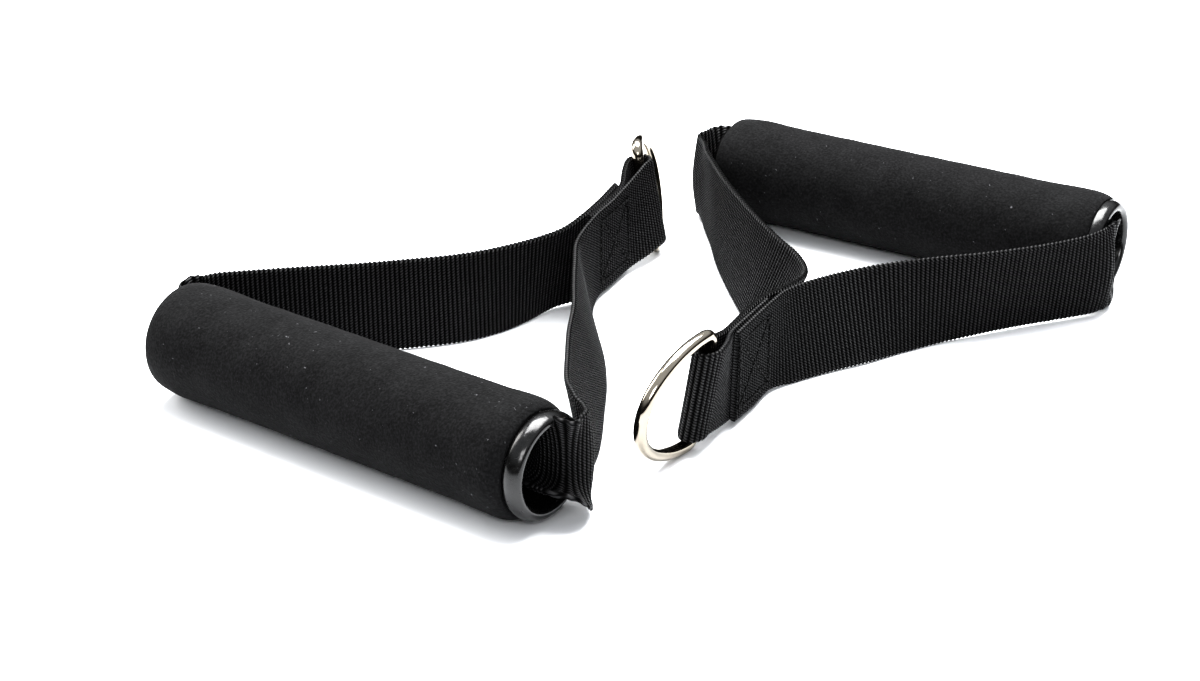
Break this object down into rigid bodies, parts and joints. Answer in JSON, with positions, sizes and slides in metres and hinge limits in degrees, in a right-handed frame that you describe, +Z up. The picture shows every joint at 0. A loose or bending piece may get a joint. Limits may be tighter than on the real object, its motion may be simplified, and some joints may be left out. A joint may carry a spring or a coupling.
{
  "type": "resistance band handle pair",
  "caption": "Pair of exercise-band handles: round foam grips on tubes, black webbing straps sewn round welded D-rings.",
  "frame": {"origin": "on the floor, under the centre of the pair's bounding box", "axes": "+X along handle a's grip, towards its looped end; +Y from handle a's grip towards its D-ring; +Z up"},
  "size_m": [0.2114, 0.2644, 0.0408],
  "materials": {
    "foam": "matte closed-cell foam, finely speckled",
    "webbing": "ribbed woven polypropylene webbing",
    "thread": "bonded polyester thread",
    "ring_plastic": "glossy moulded nylon",
    "tube_plastic": "plain extruded tube",
    "nickel": "bright nickel plate"
  },
  "bodies": {
    "strap_a": {"webbing_strap_a": "webbing", "box_stitching_a": "thread"},
    "grip_a": {"foam_grip_a": "foam", "core_tube_a": "tube_plastic", "end_ring_lapped_a": "ring_plastic", "end_ring_looped_a": "ring_plastic"},
    "ring_a": {"d_ring_a": "nickel"},
    "strap_b": {"webbing_strap_b": "webbing", "box_stitching_b": "thread"},
    "grip_b": {"foam_grip_b": "foam", "core_tube_b": "tube_plastic", "end_ring_lapped_b": "ring_plastic", "end_ring_looped_b": "ring_plastic"},
    "ring_b": {"d_ring_b": "nickel"}
  },
  "joints": [
    {"name": "grip_spin_a", "type": "hinge", "parent": "strap_a", "child": "grip_a", "pos_m": [-0.0275, -0.1144, 0.0177], "axis": [1, 0, 0], "continuous": true},
    {"name": "ring_swing_a", "type": "hinge", "parent": "strap_a", "child": "ring_a", "pos_m": [-0.045, 0.053, 0.0205], "axis": [-0.1863, -0.0413, 0.9816], "range_deg": [-14, 122]},
    {"name": "grip_spin_b", "type": "hinge", "parent": "strap_b", "child": "grip_b", "pos_m": [0.0278, 0.1094, 0.0177], "axis": [-0.9965, -0.0837, 0], "continuous": true},
    {"name": "ring_swing_b", "type": "hinge", "parent": "strap_b", "child": "ring_b", "pos_m": [0.05203, -0.05364, 0.0203], "axis": [0.1542, 0.0266, 0.9877], "range_deg": [-130, 150]},
    {"name": "handles_apart", "type": "slide", "parent": "strap_a", "child": "strap_b", "axis": [1, 0, 0], "range_m": [0, 0.15]}
  ]
}
